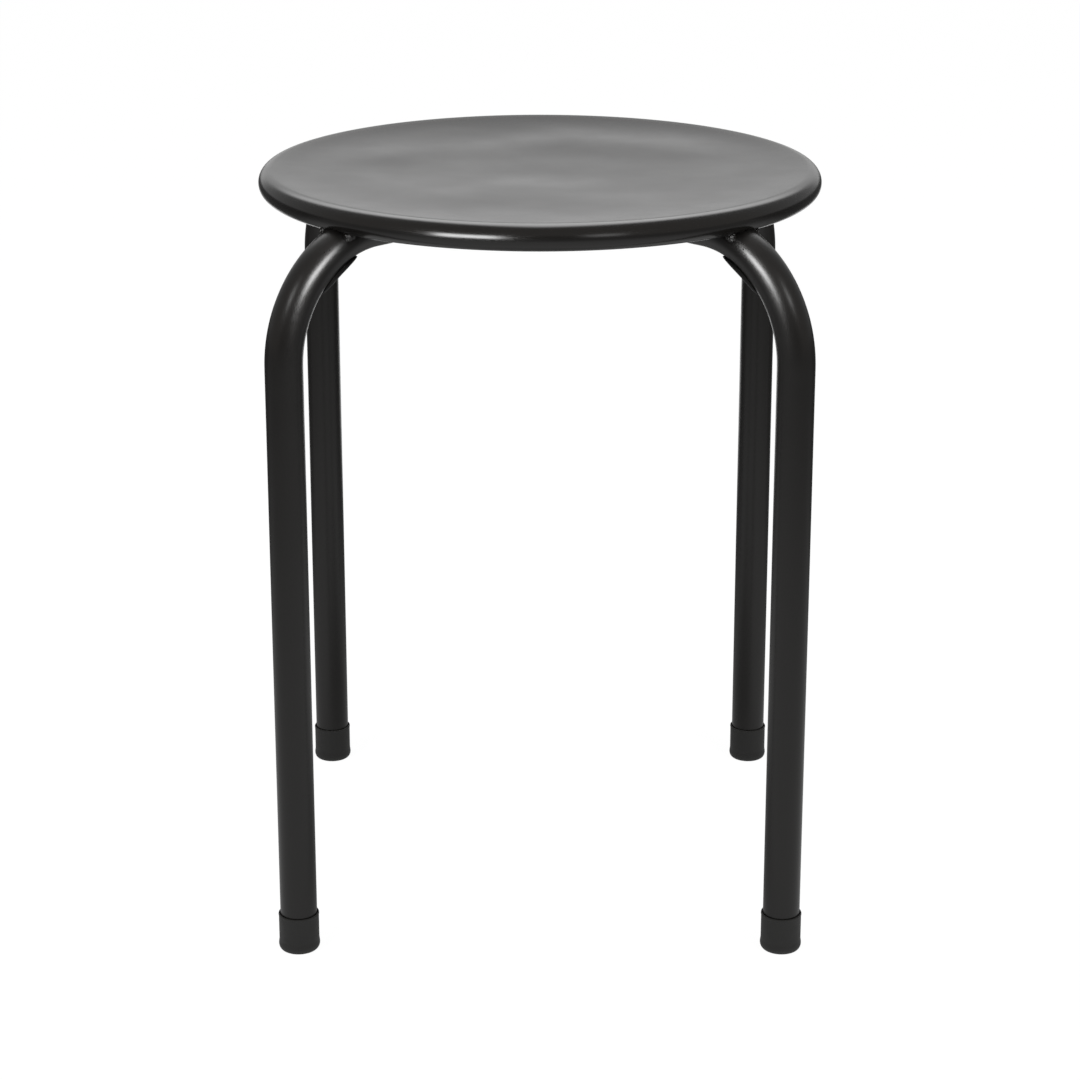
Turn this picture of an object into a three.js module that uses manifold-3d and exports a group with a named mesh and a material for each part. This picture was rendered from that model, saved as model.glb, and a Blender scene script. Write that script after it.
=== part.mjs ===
// A stacking stool in black powder-coated steel. A pressed seat pan with a shallow dish and a rolled rim
// sits on two upside-down U tubes that cross under it from corner to corner. Each foot has a cap, and the
// hollow side of each bend has a bumper, which rests on the rim of the stool below when they are stacked.
// Millimetres, +Z up. The front is -Y, and the origin is on the floor under the middle of the seat.
import * as THREE from 'three';
import { mergeVertices } from 'three/addons/utils/BufferGeometryUtils.js';
import Module from 'manifold-3d';

const wasm = await Module();
wasm.setup();

// Clearances
const fitGap = 0.3;
const cutOverrun = 1;

// Leg tubes. The leg offset is from the seat's edge out to the centre line of a leg, on the diagonal
const tubeDiameter = 22;
const tubeWall = 1.2;
const levelRunHeight = 432.5;
const legOffset = 35;
const bendRadius = 70;
const crossingMargin = 1.5;
const crossingBlend = 20;

// Seat pan
const seatDiameter = 340;
const sheetThickness = 1.2;
const dishDepth = 5;
const rimHeight = 16;
const dishPower = 3;
const curlEndDegrees = 157.5;

// Foot caps
const capHeight = 23.5;
const capFloor = 3;
const capWall = 0.7;
const capLip = 0.2;
const capLipHeight = 1.6;
const capFlare = 0.35;
const capFlareHeight = 7.2;
const capCornerWidth = 2.5;
const capCornerHeight = 3.6;

// Stacking bumpers. The place share runs along the bend, from 0 at the leg to 1 at the level run
const bumperLength = 34;
const bumperThickness = 4;
const bumperWidth = 14;
const bumperPlaceShare = 0.66;
const pegDiameter = 5;
const pegHeadDiameter = 6.4;
const pegTipDiameter = 4;
const pegHeadLength = 4;

// Welds: half the size of a rim weld along the rim, out from the middle and upwards, how far its middle
// lies out from the side of the tube, and the radius of a crossing weld
const rimWeldHalfLength = 4.6;
const rimWeldHalfWidth = 3.8;
const rimWeldHalfHeight = 3.4;
const rimWeldOffset = 1.2;
const crossingWeldRadius = 4.5;

// Steps of the curved surfaces
const seatSegments = 56;
const dishSteps = 7;
const curlSteps = 11;
const tubeSides = 20;
const bendSteps = 9;
const blendSteps = 5;
const capSegments = 20;
const cornerSteps = 4;
const pegSegments = 12;
const weldSegments = 10;
const weldRings = 7;

// Sizes that follow
const tubeRadius = tubeDiameter / 2;
const crownHeight = levelRunHeight + tubeRadius;
const seatRadius = seatDiameter / 2;
const legReach = seatRadius + legOffset;
const bendCentreReach = legReach - bendRadius;
const bendCentreHeight = levelRunHeight - bendRadius;
const dishBottom = crownHeight + fitGap + sheetThickness;
const seatHeight = dishBottom + dishDepth;
const rollRadius = rimHeight / 2;
const rollCentreRadius = seatRadius - rollRadius;
const rollCentreHeight = seatHeight - rollRadius;
const rightAngle = Math.PI / 2;

// The corners, by the direction in which each leg lies from the middle, seen from above
const corners = [
  { name: 'back_right', turnDegrees: 45, leftHandSide: 'back', rightHandSide: 'right' },
  { name: 'back_left', turnDegrees: 135, leftHandSide: 'left', rightHandSide: 'back' },
  { name: 'front_left', turnDegrees: 225, leftHandSide: 'front', rightHandSide: 'left' },
  { name: 'front_right', turnDegrees: 315, leftHandSide: 'right', rightHandSide: 'front' },
];

// Finishes: a satin black powder coat, a matt soft plastic and a harder one
const powderCoat = { color: 0x2c2c2b, roughness: 0.42, metalness: 0 };
const capPlastic = { color: 0x2f2f2e, roughness: 0.7, metalness: 0 };
const bumperPlastic = { color: 0x1e1e1e, roughness: 0.6, metalness: 0 };

function namedMesh(name, geometry, finish) {
  const mesh = new THREE.Mesh(geometry, new THREE.MeshStandardMaterial(finish));
  mesh.name = name;
  return mesh;
}

// A solid from a closed geometry, whose triangles that shrink to a line at a pole are dropped
function toSolid(geometry) {
  const bare = geometry.clone();
  bare.deleteAttribute('normal');
  bare.deleteAttribute('uv');
  const merged = mergeVertices(bare);
  const index = merged.index.array;
  const triangles = [];
  for (let i = 0; i < index.length; i += 3) {
    const [a, b, c] = [index[i], index[i + 1], index[i + 2]];
    if (a !== b && b !== c && c !== a) triangles.push(a, b, c);
  }
  const triVerts = Uint32Array.from(triangles);
  const vertProperties = merged.attributes.position.array;
  return new wasm.Manifold(new wasm.Mesh({ numProp: 3, vertProperties, triVerts }));
}

function toGeometry(solid) {
  const { vertProperties, triVerts } = solid.getMesh();
  const geometry = new THREE.BufferGeometry();
  geometry.setAttribute('position', new THREE.BufferAttribute(vertProperties, 3));
  geometry.setIndex(new THREE.BufferAttribute(triVerts, 1));
  geometry.computeVertexNormals();
  return geometry;
}

// A skin over rings of points: closed on itself where it loops, and otherwise with its two ends filled
function loft(rings, loops) {
  const sides = rings[0].length;
  const points = rings.flat();
  const triangles = [];
  const last = loops ? rings.length : rings.length - 1;
  for (let ring = 0; ring < last; ring += 1) {
    const here = ring * sides;
    const next = ((ring + 1) % rings.length) * sides;
    for (let i = 0; i < sides; i += 1) {
      const j = (i + 1) % sides;
      triangles.push(here + i, here + j, next + i, here + j, next + j, next + i);
    }
  }
  if (!loops) {
    const endStart = (rings.length - 1) * sides;
    for (let i = 1; i < sides - 1; i += 1) {
      triangles.push(0, i + 1, i, endStart, endStart + i, endStart + i + 1);
    }
  }
  const geometry = new THREE.BufferGeometry().setFromPoints(points);
  geometry.setIndex(triangles);
  geometry.computeVertexNormals();
  return geometry;
}

// A turned solid about +Z, from its outline as [radius, height] pairs, which runs anticlockwise
function turned(outline, segments) {
  const profile = outline.map(([radius, height]) => new THREE.Vector2(radius, height));
  const geometry = new THREE.LatheGeometry(profile, segments);
  return toSolid(geometry.rotateX(rightAngle));
}

function smooth(share) {
  return share * share * (3 - 2 * share);
}

// Leg tubes, in the upright plane through two opposite legs: X runs out to a leg, Y across the tube.
// Where the tubes cross, each is pressed to half its height and spreads, so that its girth stays the same.
const crossedHalfHeight = (tubeRadius - fitGap / 2) / 2;
const crossedHalfWidth = Math.sqrt(2 * tubeRadius ** 2 - crossedHalfHeight ** 2);
const crossedReach = crossedHalfWidth + fitGap + crossingMargin;

function bendStation(angle) {
  return {
    reach: bendCentreReach + bendRadius * Math.cos(angle),
    height: bendCentreHeight + bendRadius * Math.sin(angle),
    lean: rightAngle - angle,
    flatness: 0,
  };
}

function crossingStations() {
  const stations = [];
  for (let step = 0; step <= blendSteps; step += 1) {
    const share = step / blendSteps;
    const reach = crossedReach + crossingBlend * share;
    stations.push({ reach, height: levelRunHeight, lean: 0, flatness: 1 - smooth(share) });
  }
  return stations;
}

function bendStations() {
  const stations = [];
  for (let step = bendSteps; step >= 0; step -= 1) {
    stations.push(bendStation(rightAngle * step / bendSteps));
  }
  return stations;
}

// The whole run from side to side: the mirror images of one half's stations, and then that half's own
function bothWays(half) {
  const mirrored = half.map((station) => ({ ...station, reach: -station.reach, lean: -station.lean }));
  return [...mirrored.reverse(), ...half];
}

// One ring of the tube's section at a station, shrunk by an inset. The side is 1 where the tube passes
// over the other one and -1 where it passes under it.
function tubeRing(station, inset, side) {
  const halfHeight = THREE.MathUtils.lerp(tubeRadius, crossedHalfHeight, station.flatness);
  const halfWidth = Math.sqrt(2 * tubeRadius ** 2 - halfHeight ** 2);
  const rise = side * (tubeRadius - halfHeight);
  const outwards = new THREE.Vector3(Math.sin(station.lean), 0, Math.cos(station.lean));
  const ring = [];
  for (let i = 0; i < tubeSides; i += 1) {
    const angle = 2 * Math.PI * i / tubeSides;
    const up = rise + (halfHeight - inset) * Math.sin(angle);
    const point = new THREE.Vector3(station.reach, (halfWidth - inset) * Math.cos(angle), station.height);
    ring.push(point.addScaledVector(outwards, up));
  }
  return ring;
}

function tubeRings(stations, inset, side) {
  return stations.map((station) => tubeRing(station, inset, side));
}

// The space that a bend takes, one fit gap larger all round, to trim what lies against it
function bendRoom() {
  return loft(tubeRings(bendStations(), -fitGap, 1), false);
}

// The same for the pressed stretch of a tube at the crossing
function crossingRoom(side) {
  return loft(tubeRings(bothWays(crossingStations()), -fitGap, side), false);
}

// Bumper: a saddle on the hollow side of the bend, held by a peg through a hole in the tube's wall
const bumperBendAngle = rightAngle * bumperPlaceShare;
const bumperSeatRadius = tubeRadius + fitGap;
const bumperHalfSpan = bumperLength / 2 / (bendRadius - bumperSeatRadius);
const bumperHalfWrap = bumperWidth / 2 / bumperSeatRadius;
const bumperStationShares = [0.97, 0.86, 0.6, 0, -0.6, -0.86, -0.97];
const bumperWrapShares = [-1, -0.9, -0.55, 0, 0.55, 0.9, 1];
const pegHeadSeat = Math.sqrt((tubeRadius - tubeWall) ** 2 - (pegHeadDiameter / 2) ** 2) - fitGap;

function roundedEnd(share) {
  return Math.sqrt(1 - share ** 4);
}

function bumperRing(stationShare) {
  const { reach, height, lean } = bendStation(bumperBendAngle + bumperHalfSpan * stationShare);
  const outwards = new THREE.Vector3(Math.sin(lean), 0, Math.cos(lean));
  const size = roundedEnd(stationShare);
  const point = (wrapShare, thickness) => {
    const wrap = bumperHalfWrap * size * wrapShare;
    const radius = bumperSeatRadius + thickness;
    const across = new THREE.Vector3(reach, radius * Math.sin(wrap), height);
    return across.addScaledVector(outwards, -radius * Math.cos(wrap));
  };
  const seat = bumperWrapShares.map((share) => point(-share, 0));
  const crown = bumperWrapShares.slice(1, -1);
  const face = crown.map((share) => point(share, bumperThickness * size * roundedEnd(share)));
  return [...seat, ...face];
}

// Turns a solid's +Z into the direction in which a bend's centre line lies from the bend's own centre
function ontoBumperAxis(geometry) {
  const { reach, height } = bendStation(bumperBendAngle);
  return geometry.rotateY(rightAngle - bumperBendAngle).translate(reach, 0, height);
}

function pegHole() {
  const length = tubeWall + 2 * cutOverrun;
  const radius = pegDiameter / 2 + fitGap;
  const hole = new THREE.CylinderGeometry(radius, radius, length, pegSegments);
  hole.rotateX(rightAngle).translate(0, 0, tubeWall / 2 - tubeRadius);
  return ontoBumperAxis(hole);
}

function bumperGeometry() {
  const saddle = loft(bumperStationShares.map(bumperRing), false);
  const profile = [
    [0, -(bumperSeatRadius + bumperThickness / 2)],
    [pegDiameter / 2, -(bumperSeatRadius + bumperThickness / 2)],
    [pegDiameter / 2, -pegHeadSeat],
    [pegHeadDiameter / 2, -pegHeadSeat],
    [pegTipDiameter / 2, -pegHeadSeat + pegHeadLength],
    [0, -pegHeadSeat + pegHeadLength],
  ].map(([radius, height]) => new THREE.Vector2(radius, height));
  const peg = new THREE.LatheGeometry(profile, pegSegments).rotateX(rightAngle);
  return toGeometry(toSolid(saddle).add(toSolid(ontoBumperAxis(peg))));
}

// A whole leg tube, open at both feet, with the two holes for the bumpers' pegs
function legTubeGeometry(side) {
  const foot = { reach: legReach, height: capFloor + fitGap, lean: rightAngle, flatness: 0 };
  const stations = bothWays([...crossingStations(), ...bendStations(), foot]);
  const outside = tubeRings(stations, 0, side);
  const inside = tubeRings(stations, tubeWall, side);
  const tube = toSolid(loft([...outside, ...inside.reverse()], true));
  const farHole = pegHole().rotateZ(Math.PI);
  return toGeometry(tube.subtract(toSolid(pegHole())).subtract(toSolid(farHole)));
}

// Foot cap: a moulded cup with a small lip at its mouth and a swelling above its rounded base
function footCapGeometry() {
  const bore = tubeRadius + fitGap;
  const side = bore + capWall;
  const widest = side + capFlare;
  const outline = [[0, 0]];
  for (let step = 0; step <= cornerSteps; step += 1) {
    const angle = rightAngle * step / cornerSteps;
    const radius = widest - capCornerWidth * (1 - Math.sin(angle));
    outline.push([radius, capCornerHeight * (1 - Math.cos(angle))]);
  }
  outline.push([side, capFlareHeight]);
  outline.push([side, capHeight - capLipHeight]);
  outline.push([side + capLip, capHeight - capLipHeight / 2]);
  outline.push([side, capHeight]);
  outline.push([bore, capHeight]);
  outline.push([bore, capFloor]);
  outline.push([0, capFloor]);
  return toGeometry(turned(outline, capSegments));
}

// Seat pan. Its section runs from the middle of the dish over the roll to the end of the curl
function panSection(inset) {
  const radius = rollRadius - inset;
  const edgeSlope = Math.atan(dishPower * dishDepth / rollCentreRadius);
  const startAngle = rightAngle + edgeSlope;
  const endAngle = -THREE.MathUtils.degToRad(curlEndDegrees);
  const edgeRadius = rollCentreRadius + radius * Math.cos(startAngle);
  const edgeHeight = rollCentreHeight + radius * Math.sin(startAngle);
  const middleHeight = dishBottom - inset;
  const section = [];
  for (let step = 0; step < dishSteps; step += 1) {
    const share = step / dishSteps;
    section.push([edgeRadius * share, middleHeight + (edgeHeight - middleHeight) * share ** dishPower]);
  }
  section.push([edgeRadius, edgeHeight]);
  for (let step = 0; step <= curlSteps; step += 1) {
    const angle = THREE.MathUtils.lerp(rightAngle, endAngle, step / curlSteps);
    section.push([rollCentreRadius + radius * Math.cos(angle), rollCentreHeight + radius * Math.sin(angle)]);
  }
  return section;
}

// The roll as a solid ring, one fit gap larger, to trim what is welded against it
function rollRoom() {
  const outline = [];
  const radius = rollRadius + fitGap;
  for (let step = 0; step <= 2 * curlSteps; step += 1) {
    const angle = Math.PI * step / curlSteps;
    outline.push([rollCentreRadius + radius * Math.cos(angle), rollCentreHeight + radius * Math.sin(angle)]);
  }
  return turned(outline, seatSegments);
}

function seatPanGeometry() {
  const outline = [...panSection(sheetThickness), ...panSection(0).reverse()];
  let pan = turned(outline, seatSegments);
  for (const { turnDegrees } of corners) {
    const notch = bendRoom().rotateZ(THREE.MathUtils.degToRad(turnDegrees));
    pan = pan.subtract(toSolid(notch));
  }
  return toGeometry(pan);
}

// Rim weld: a lump in the corner between the underside of the roll and the side of the tube,
// on the tube's left-hand side looking out where the side is 1, and on its right-hand side where it is -1
function rimWeldGeometry(side) {
  const across = rollCentreRadius - bendCentreReach;
  const rimBottom = rollCentreHeight - rollRadius;
  const cornerDistance = Math.hypot(across, rimBottom - bendCentreHeight) - bendRadius;
  const sideways = Math.sqrt(Math.max(0, tubeRadius ** 2 - cornerDistance ** 2));
  const lump = new THREE.SphereGeometry(1, weldSegments, weldRings);
  lump.scale(rimWeldHalfWidth, rimWeldHalfLength, rimWeldHalfHeight);
  lump.translate(rollCentreRadius, side * (sideways + rimWeldOffset), rimBottom - fitGap);
  return toGeometry(toSolid(lump).subtract(toSolid(bendRoom())).subtract(rollRoom()));
}

// Crossing weld: a lump in one of the four corners where the pressed tubes cross. The side is that of the
// tube on the lump's left-hand side, looking out from the middle
function crossingWeldGeometry(side) {
  const lump = new THREE.SphereGeometry(crossingWeldRadius, weldSegments, weldRings);
  lump.translate(crossedHalfWidth * Math.SQRT2, 0, levelRunHeight);
  const left = crossingRoom(side).rotateZ(rightAngle / 2);
  const right = crossingRoom(-side).rotateZ(-rightAngle / 2);
  return toGeometry(toSolid(lump).subtract(toSolid(left)).subtract(toSolid(right)));
}

const stool = new THREE.Group();

stool.add(namedMesh('seat_pan', seatPanGeometry(), powderCoat));

const overTube = namedMesh('leg_tube_front_left_to_back_right', legTubeGeometry(1), powderCoat);
overTube.rotation.z = rightAngle / 2;
stool.add(overTube);

const underTube = namedMesh('leg_tube_front_right_to_back_left', legTubeGeometry(-1), powderCoat);
underTube.rotation.z = -rightAngle / 2;
stool.add(underTube);

for (const [i, place] of ['right', 'back', 'left', 'front'].entries()) {
  const leftHandTubeSide = i % 2 === 0 ? 1 : -1;
  const weld = namedMesh(`crossing_weld_${place}`, crossingWeldGeometry(leftHandTubeSide), powderCoat);
  weld.rotation.z = rightAngle * i;
  stool.add(weld);
}

for (const { name, turnDegrees, leftHandSide, rightHandSide } of corners) {
  const corner = new THREE.Group();
  corner.rotation.z = THREE.MathUtils.degToRad(turnDegrees);

  const cap = namedMesh(`foot_cap_${name}`, footCapGeometry(), capPlastic);
  cap.position.x = legReach;
  corner.add(cap);

  corner.add(namedMesh(`stacking_bumper_${name}`, bumperGeometry(), bumperPlastic));
  corner.add(namedMesh(`rim_weld_${name}_on_${leftHandSide}`, rimWeldGeometry(1), powderCoat));
  corner.add(namedMesh(`rim_weld_${name}_on_${rightHandSide}`, rimWeldGeometry(-1), powderCoat));
  stool.add(corner);
}

export default stool;
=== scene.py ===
import math
import random

import bpy
from mathutils import Matrix, Vector


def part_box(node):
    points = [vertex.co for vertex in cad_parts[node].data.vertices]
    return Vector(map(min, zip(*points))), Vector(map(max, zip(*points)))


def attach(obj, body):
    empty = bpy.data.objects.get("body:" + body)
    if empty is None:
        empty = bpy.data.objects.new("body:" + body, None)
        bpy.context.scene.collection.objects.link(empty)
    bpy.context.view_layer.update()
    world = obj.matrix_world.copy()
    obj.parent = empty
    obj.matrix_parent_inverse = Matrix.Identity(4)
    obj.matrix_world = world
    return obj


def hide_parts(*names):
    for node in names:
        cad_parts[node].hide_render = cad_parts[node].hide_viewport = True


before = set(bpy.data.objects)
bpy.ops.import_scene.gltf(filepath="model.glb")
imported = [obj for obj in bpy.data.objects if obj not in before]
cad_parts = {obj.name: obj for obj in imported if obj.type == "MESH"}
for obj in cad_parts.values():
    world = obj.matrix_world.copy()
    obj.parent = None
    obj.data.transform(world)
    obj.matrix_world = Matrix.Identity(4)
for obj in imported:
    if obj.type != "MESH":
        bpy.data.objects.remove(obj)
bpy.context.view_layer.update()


# Camera: in front of the stool and a little above the seat, as the photograph was taken.
CAMERA_DISTANCE = 1.702
CAMERA_HEIGHT = 0.796
CAMERA_TILT = math.radians(17.29)
SENSOR_WIDTH = 36.0
LENS_LENGTH = 95.18
CAMERA_SHIFT = -0.0796

camera_data = bpy.data.cameras.new("camera")
camera_data.sensor_width = SENSOR_WIDTH
camera_data.lens = LENS_LENGTH
camera_data.shift_y = CAMERA_SHIFT
camera = bpy.data.objects.new("camera", camera_data)
camera.location = (0, -CAMERA_DISTANCE, CAMERA_HEIGHT)
camera.rotation_euler = (math.pi / 2 - CAMERA_TILT, 0, 0)
bpy.context.scene.collection.objects.link(camera)
bpy.context.scene.camera = camera
bpy.context.scene.view_settings.view_transform = "Standard"


# Floor: white paper that runs far out and keeps the stool's soft shadow. In the gloss it glows with a painted
# pool of light round the stool, painted shade under the seat, a bright strip and pale paper behind. An edge
# is a pair of distances, where a light begins to change and where it ends.
FLOOR_REACH = 14.0
PAPER_COLOUR = (0.95, 0.95, 0.95, 1)
PAPER_WHITE = 1.06
PAPER_GLOW_SHARE = 0.9
POOL_MIDDLE = (0, -0.3, 0)
POOL_EDGE = (0.35, 1.3)
POOL_LEVELS = (0.6, 0.22)
POOL_BACK_EDGE = (0.05, 0.45)
POOL_BACK_SHARE = 0.35
SEAT_SHADE_EDGE = (0.08, 0.26)
SEAT_SHADE_SHARE = 0.45
STRIP_LEVEL = 1.5
STRIP_SIDE_EDGE = (0.4, 0.7)
STRIP_FRONT_EDGE = (0.55, 1.0)
BEHIND_LEVEL = 0.85
BEHIND_SIDE_EDGE = (0.5, 1.0)
BEHIND_FRONT_EDGE = (0.6, 2.2)


def feed(tree, socket, value):
    """Links a node's output to a socket, or writes a plain value on it."""
    if isinstance(value, bpy.types.NodeSocket):
        tree.links.new(value, socket)
    else:
        socket.default_value = value


def add_node(tree, kind, inputs, **settings):
    """Adds a node. Its inputs are given by name or by place."""
    node = tree.nodes.new(kind)
    for name, value in settings.items():
        setattr(node, name, value)
    for key, value in inputs.items():
        feed(tree, node.inputs[key], value)
    return node


def result(tree, kind, inputs, **settings):
    """Adds a node and gives its first output."""
    return add_node(tree, kind, inputs, **settings).outputs[0]


def calc(tree, operation, *values):
    """The result of a calculation on one to three values."""
    return result(tree, "ShaderNodeMath", dict(enumerate(values)), operation=operation)


def product(tree, first, *others):
    """Two or more values multiplied."""
    for other in others:
        first = calc(tree, "MULTIPLY", first, other)
    return first


def ramp(tree, value, from_low, from_high, to_low, to_high, curve="SMOOTHSTEP"):
    """A value moved from one range to another, and held at its ends."""
    inputs = {0: value, 1: from_low, 2: from_high, 3: to_low, 4: to_high}
    return result(tree, "ShaderNodeMapRange", inputs, interpolation_type=curve)


def split(tree, vector):
    """The three parts of a vector."""
    return add_node(tree, "ShaderNodeSeparateXYZ", {0: vector}).outputs


def mixed(tree, share, first, second):
    """The first shader where the share is 0, and the second where it is 1."""
    return result(tree, "ShaderNodeMixShader", {0: share, 1: first, 2: second})


def ray_kinds(tree):
    """1 for the camera's rays, and 1 for the rays that show a surface in a gloss or through glass."""
    path = tree.nodes.new("ShaderNodeLightPath")
    gloss = calc(tree, "MAXIMUM", path.outputs["Is Glossy Ray"], path.outputs["Is Transmission Ray"])
    return path.outputs["Is Camera Ray"], gloss


def studio_sheet(name, half_width, front, back, height):
    """A flat level sheet of the studio, which is never sampled as a lamp, and its material's empty tree."""
    mesh = bpy.data.meshes.new(name)
    corners = [(-half_width, front), (half_width, front), (half_width, back), (-half_width, back)]
    mesh.from_pydata([(x, y, height) for x, y in corners], [], [(0, 1, 2, 3)])
    sheet = bpy.data.objects.new(name, mesh)
    bpy.context.scene.collection.objects.link(sheet)
    material = bpy.data.materials.new(name)
    material.use_nodes = True
    material.node_tree.nodes.clear()
    material.cycles.emission_sampling = "NONE"
    mesh.materials.append(material)
    return sheet, material.node_tree


def paper_floor():
    floor, tree = studio_sheet("studio_floor", FLOOR_REACH, -FLOOR_REACH, FLOOR_REACH, 0)
    camera_ray, gloss_ray = ray_kinds(tree)
    place = tree.nodes.new("ShaderNodeTexCoord").outputs["Object"]
    pool_inputs = {0: place, 1: POOL_MIDDLE}
    from_pool = add_node(tree, "ShaderNodeVectorMath", pool_inputs, operation="DISTANCE").outputs["Value"]
    from_axis = add_node(tree, "ShaderNodeVectorMath", {0: place}, operation="LENGTH").outputs["Value"]
    across, depth, _ = split(tree, place)
    aside = calc(tree, "ABSOLUTE", across)
    # Painted light: the pool round the stool, the shade under the seat, the strip and the paper behind are
    # painted into the glow that the gloss sees.
    pool = ramp(tree, from_pool, *POOL_EDGE, *POOL_LEVELS)
    seat_shade = ramp(tree, from_axis, *SEAT_SHADE_EDGE, SEAT_SHADE_SHARE, 1)
    near = product(tree, pool, seat_shade, ramp(tree, depth, *POOL_BACK_EDGE, 1, POOL_BACK_SHARE))
    behind = product(tree, ramp(tree, aside, *BEHIND_SIDE_EDGE, 1, 0),
                     ramp(tree, depth, *BEHIND_FRONT_EDGE, 0, BEHIND_LEVEL))
    strip = product(tree, ramp(tree, aside, *STRIP_SIDE_EDGE, 1, 0),
                    ramp(tree, depth, *STRIP_FRONT_EDGE, 0, STRIP_LEVEL))
    level = calc(tree, "MAXIMUM", near, calc(tree, "MAXIMUM", behind, strip))
    paper = result(tree, "ShaderNodeBsdfDiffuse", {"Color": PAPER_COLOUR})
    white = result(tree, "ShaderNodeEmission", {"Strength": PAPER_WHITE})
    glow = result(tree, "ShaderNodeEmission", {"Strength": level})
    for_camera = mixed(tree, product(tree, camera_ray, PAPER_GLOW_SHARE), paper, white)
    for_gloss = mixed(tree, gloss_ray, for_camera, glow)
    add_node(tree, "ShaderNodeOutputMaterial", {"Surface": for_gloss})


paper_floor()


# Surround: white for the camera, and an even light on every surface. In the gloss it is a grey room, darker
# and warmer in front, and as pale as the paper low down behind, where the light reaches higher at the sides.
# Directions have a length of 1, so an edge here is a pair of shares along one axis.
AMBIENT_LIGHT = 0.55
ROOM_LEVEL = 0.38
ROOM_FRONT_LEVEL = 0.17
ROOM_FRONT_EDGE = (-0.95, -0.7)
ROOM_FRONT_TOP_EDGE = (0.2, 0.5)
ROOM_BACK_EDGE = (0.35, 0.85)
ROOM_BACK_TOP_EDGE = (0.2, 0.43)
ROOM_BACK_SIDE_EDGE = (0.33, 0.6)
ROOM_SIDE_RISE = 0.15
ROOM_SIDE_RISE_EDGE = (0.04, 0.14)
WARM_EDGE = (-0.3, 0.5)
WARM_GREEN_LOSS = 0.05
WARM_BLUE_LOSS = 0.09


def white_surround():
    world = bpy.data.worlds.new("studio_surround")
    world.use_nodes = True
    tree = world.node_tree
    tree.nodes.clear()
    camera_ray, gloss_ray = ray_kinds(tree)
    across, backwards, upwards = split(tree, tree.nodes.new("ShaderNodeTexCoord").outputs["Generated"])
    sideways = calc(tree, "ABSOLUTE", across)
    side_rise = ramp(tree, sideways, *ROOM_SIDE_RISE_EDGE, 0, 1)
    lowered = calc(tree, "MULTIPLY_ADD", side_rise, -ROOM_SIDE_RISE, upwards)
    low_behind = product(tree, ramp(tree, lowered, *ROOM_BACK_TOP_EDGE, 1, 0),
                         ramp(tree, sideways, *ROOM_BACK_SIDE_EDGE, 1, 0),
                         ramp(tree, backwards, *ROOM_BACK_EDGE, 0, 1))
    low_in_front = product(tree, ramp(tree, backwards, *ROOM_FRONT_EDGE, 1, 0),
                           ramp(tree, upwards, *ROOM_FRONT_TOP_EDGE, 1, 0))
    behind = calc(tree, "MULTIPLY_ADD", low_behind, BEHIND_LEVEL - ROOM_LEVEL, ROOM_LEVEL)
    level = calc(tree, "MULTIPLY_ADD", low_in_front, ROOM_FRONT_LEVEL - ROOM_LEVEL, behind)
    warmth = ramp(tree, backwards, *WARM_EDGE, 1, 0)
    green = product(tree, level, calc(tree, "MULTIPLY_ADD", warmth, -WARM_GREEN_LOSS, 1))
    blue = product(tree, level, calc(tree, "MULTIPLY_ADD", warmth, -WARM_BLUE_LOSS, 1))
    room_colour = result(tree, "ShaderNodeCombineColor", {0: level, 1: green, 2: blue})
    ambient = result(tree, "ShaderNodeBackground", {"Strength": AMBIENT_LIGHT})
    room = result(tree, "ShaderNodeBackground", {"Color": room_colour, "Strength": 1})
    white = result(tree, "ShaderNodeBackground", {"Color": (1, 1, 1, 1), "Strength": 1})
    for_gloss = mixed(tree, gloss_ray, ambient, room)
    add_node(tree, "ShaderNodeOutputWorld", {"Surface": mixed(tree, camera_ray, for_gloss, white)})
    world.cycles.sampling_method = "NONE"
    bpy.context.scene.world = world


white_surround()


# Overhead sheet: diffusing cloth over the stool with a lamp behind it, which shows in the gloss alone. It is
# brightest above the front of the seat and fades out to the back, and the bright part widens that way.
OVERHEAD_HEIGHT = 0.75
OVERHEAD_HALF_WIDTH = 0.7
OVERHEAD_FRONT = -0.3
OVERHEAD_BACK = 0.7
OVERHEAD_LEVEL = 5.6
OVERHEAD_FADE_EDGE = (-0.09, 0.63)
OVERHEAD_TIP_WIDENING = 1.3
OVERHEAD_TIP_EDGE = (0.03, 0.27)
OVERHEAD_SIDE_WIDENING = 0.45
OVERHEAD_SIDE_EDGE = (0.2, 0.36)


def overhead_sheet():
    sheet, tree = studio_sheet("overhead_sheet", OVERHEAD_HALF_WIDTH, OVERHEAD_FRONT, OVERHEAD_BACK,
                               OVERHEAD_HEIGHT)
    across, along, _ = split(tree, tree.nodes.new("ShaderNodeTexCoord").outputs["Object"])
    sideways = calc(tree, "ABSOLUTE", across)
    past_tip = calc(tree, "MULTIPLY_ADD", along, -OVERHEAD_TIP_WIDENING, sideways)
    past_side = calc(tree, "MULTIPLY_ADD", along, -OVERHEAD_SIDE_WIDENING, sideways)
    level = product(tree, ramp(tree, past_tip, *OVERHEAD_TIP_EDGE, 1, 0),
                    ramp(tree, past_side, *OVERHEAD_SIDE_EDGE, 1, 0),
                    ramp(tree, along, *OVERHEAD_FADE_EDGE, OVERHEAD_LEVEL, 0, "LINEAR"))
    glow = result(tree, "ShaderNodeEmission", {"Strength": level})
    clear = result(tree, "ShaderNodeBsdfTransparent", {})
    lit = result(tree, "ShaderNodeAddShader", {0: glow, 1: clear})
    add_node(tree, "ShaderNodeOutputMaterial", {"Surface": lit})
    sheet.visible_camera = False
    sheet.visible_diffuse = False
    sheet.visible_shadow = False


overhead_sheet()


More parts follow.
